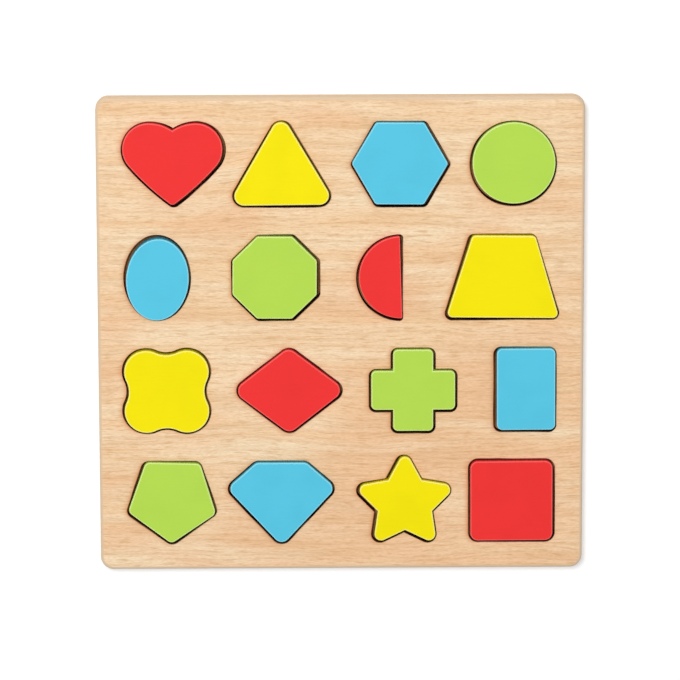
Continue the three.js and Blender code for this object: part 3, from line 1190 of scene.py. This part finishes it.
TILES: list[Tile] = [
    Tile("heart", Heart(46, 38.2, 12.2, 120, 2, 3.4), Paint.RED, 0, 0, 4, (-0.68, 0.68, -0.2)),
    Tile("triangle", triangle(43.5, TALL, 4.4), Paint.YELLOW, 0, 1, -0.1, (-0.2, 0.55, 0.2)),
    Tile("hexagon", flat_topped(6, 38.4, 1.8), Paint.BLUE, 0, 2, 0.8, (-0.5, 0.85, -0.2), rise=-0.3),
    Tile("circle", Oval(38.1, 38.1), Paint.GREEN, 0, 3, -1.2, (0.35, 0.9, 0), rise=-0.3),
    Tile("ellipse", Oval(28.9, 38.6), Paint.BLUE, 1, 0, -4, (0.2, -0.75, -2), rise=0.2),
    Tile("octagon", flat_topped(8, TALL, 1.9), Paint.GREEN, 1, 1, -3.1, (-0.7, 0.62, -0.2)),
    Tile("semicircle", HalfDisc(TALL, 0.6), Paint.RED, 1, 2, -8.9, (0.2, 0.4, 0.8), rise=-0.2, band=0.15),
    Tile("trapezoid", trapezoid(30.2, 50.8, TALL, 2.3), Paint.YELLOW, 1, 3, -6.1, (0.68, 0.6, -0.3)),
    Tile("quatrefoil", Quatrefoil(39.2, 10.2, 2.1), Paint.YELLOW, 2, 0, -0.1, (0, 0.1, 0.1)),
    Tile("rhombus", rhombus(47.2, TALL, 4.4), Paint.RED, 2, 1, 3, (-0.3, 0.5, 0.2)),
    Tile("cross", Cross(TALL, 18.6, 2.3), Paint.GREEN, 2, 2, 6.6, (0, 0.8, 0), rise=-0.3),
    Tile("rectangle", rounded_box(27.1, TALL, 2.6), Paint.BLUE, 2, 3, 4.7, (0.7, 0.7, 0.1)),
    Tile("pentagon", pentagon(38.3, 2.9), Paint.GREEN, 3, 0, 1.8, (0.2, 0.6, -0.7)),
    Tile("gem", gem(47.5, 38.3, 28.1, 12.6, 3.9), Paint.BLUE, 3, 1, -1, (0.1, 0.6, 0), rise=-0.1),
    Tile("star", Star(40.4, 13.3, 3.1), Paint.YELLOW, 3, 2, 2.3, (0.75, 0.6, 0), rise=1.4),
    Tile("square", rounded_box(38.3, 38.3, 3.6), Paint.RED, 3, 3, -1.3, (-0.1, 0.3, 0.1), rise=0.4),
]


@dataclass(frozen=True)
class Finishes:
    """The materials of all the pieces."""

    frame_panel: Coat
    base_panel: Coat
    tiles: dict[Paint, Coat]

    @classmethod
    def make(cls) -> Finishes:
        """Makes each material once.

        Returns:
            The materials.
        """
        edge, backing, back = SandedEdge().make(), BACKING.make(), TILE_BACK.make()
        tiles: dict[Paint, Coat] = {}
        for paint, face in PAINTS.items():
            side = PaintedSide(paint.value + "_side", face.colour).make()
            tiles[paint] = Coat(face.make(), side, side, back)
        frame_panel = Coat(BeechFace().make(), edge, CutWall().make(), backing)
        return cls(frame_panel, Coat(backing, edge, edge, backing), tiles)


@dataclass(frozen=True)
class Board:
    """The two glued panels, in millimetres."""

    corner: float = 6.0
    arris: float = 1.2
    rim: float = 0.15
    band: float = 3.0

    def outer(self, upper: float, lower: float) -> Loop:
        """Outer edge of a panel."""
        outline = rounded_box(LAYOUT.side, LAYOUT.side, self.corner)
        return edge_loop(outline.ring, 0.0, Wood.INSIDE, upper, lower, False)

    def dress(self, tree: NodeTree, finishes: Finishes) -> None:
        """Puts the panels in the place of their solids.

        Args:
            tree: The plate tree.
            finishes: The materials.
        """
        loops = [self.outer(self.arris, 0.0), *(tile.hole(self.rim) for tile in TILES)]
        coat = finishes.frame_panel
        upper = Plate("frame_panel_beech", loops, LAYOUT.base, LAYOUT.frame, self.band, coat)
        settle(upper.build(tree), "frame_panel", "board")
        loops = [self.outer(0.0, self.arris)]
        lower = Plate("base_panel_sheet", loops, 0.0, LAYOUT.base, self.band, finishes.base_panel)
        settle(lower.build(tree), "base_panel", "board")


@dataclass(frozen=True)
class Studio:
    """White floor, a softbox at the upper left, and a long lens nearly overhead."""

    distance: float = 2.6
    lens: float = 297.2
    sensor: float = 36.0
    sight: float = 20.0
    target: Place = (-0.00038, -0.00237, 0.0074)
    pitch: float = 14.18
    yaw: float = 0.52
    roll: float = 0.14
    ambient: float = 0.38
    key: float = 38.5
    key_at: Place = (-0.42, 0.85, 2.2)
    key_size: float = 0.65
    floor_side: float = 6.0
    floor_drop: float = 0.0002
    floor_colour: Colour = (0.93, 0.93, 0.93)
    white: Colour = (1.0, 1.0, 1.0)
    glow: float = 1.35
    glow_share: float = 0.35
    glow_step: Step = Step(0.25, 0.8)

    def camera(self) -> None:
        """Camera at the photograph's viewing angle."""
        lens = bpy.data.cameras.new("camera")
        lens.lens = self.lens
        lens.sensor_width = self.sensor
        lens.clip_end = self.sight
        camera = add_object("camera", lens)
        turns = ((self.pitch, "X"), (self.yaw, "Y"), (self.roll, "Z"))
        pitch, yaw, roll = (Matrix.Rotation(math.radians(angle), 4, axis) for angle, axis in turns)
        facing = (pitch @ yaw @ roll).transposed()
        away = facing @ Vector((0, 0, self.distance))
        camera.matrix_world = Matrix.Translation(Vector(self.target) + away) @ facing
        bpy.context.scene.camera = camera

    @staticmethod
    def seen(graph: Graph) -> Value:
        """1 for rays that show the background: from the camera, in gloss and through glass."""
        path = graph.node("ShaderNodeLightPath").outputs
        rays = [graph.value(path[name]) for name in ("Is Camera Ray", "Is Glossy Ray", "Is Transmission Ray")]
        return rays[0] + rays[1] + rays[2]

    def world(self) -> None:
        """Even white light, and white where the background is seen."""
        world = bpy.data.worlds.new("studio")
        bpy.context.scene.world = world
        world.use_nodes = True
        graph = Graph(world.node_tree)
        strength = self.ambient + self.seen(graph) * (1.0 - self.ambient)
        light = graph.node("ShaderNodeBackground", {"Color": self.white, "Strength": strength})
        graph.node("ShaderNodeOutputWorld", {"Surface": light.outputs[0]})

    def softbox(self) -> None:
        """Softbox at the upper left."""
        key = bpy.data.lights.new("key", "AREA")
        key.energy = self.key
        key.size = self.key_size
        lamp = add_object("key", key)
        lamp.location = self.key_at
        lamp.rotation_euler = Vector(self.key_at).to_track_quat("Z", "Y").to_euler()

    def floor(self) -> None:
        """Plain white floor that keeps the shadow."""
        half = self.floor_side / 2
        mesh = bpy.data.meshes.new("floor")
        corners = [(-half, -half), (half, -half), (half, half), (-half, half)]
        mesh.from_pydata([(x, y, -self.floor_drop) for x, y in corners], [], [(0, 1, 2, 3)])
        s = Surface("floor")
        matt = s.node("ShaderNodeBsdfDiffuse", {"Color": self.floor_colour})
        glow = s.node("ShaderNodeEmission", {"Color": self.white, "Strength": self.glow})
        length = s.node("ShaderNodeVectorMath", {0: s.place}, operation="LENGTH")
        distance = s.value(length.outputs["Value"])
        share = self.glow_share + distance.ease(self.glow_step) * (1 - self.glow_share)
        shaders = {0: self.seen(s) * share, 1: matt.outputs[0], 2: glow.outputs[0]}
        mixed = s.node("ShaderNodeMixShader", shaders)
        s.node("ShaderNodeOutputMaterial", {"Surface": mixed.outputs[0]})
        mesh.materials.append(s.material)
        add_object("floor", mesh)

    def build(self) -> None:
        """Sets the whole stage."""
        bpy.context.scene.view_settings.view_transform = "Standard"
        self.camera()
        self.world()
        self.softbox()
        self.floor()


def main() -> None:
    """Builds the stage, the board and the tiles."""
    logging.basicConfig(level=logging.INFO, format="%(name)s: %(message)s")
    Studio().build()
    finishes = Finishes.make()
    tree = PlateTree().tree
    Board().dress(tree, finishes)
    for tile in TILES:
        tile.dress(tree, finishes)


if __name__ == "__main__":
    main()
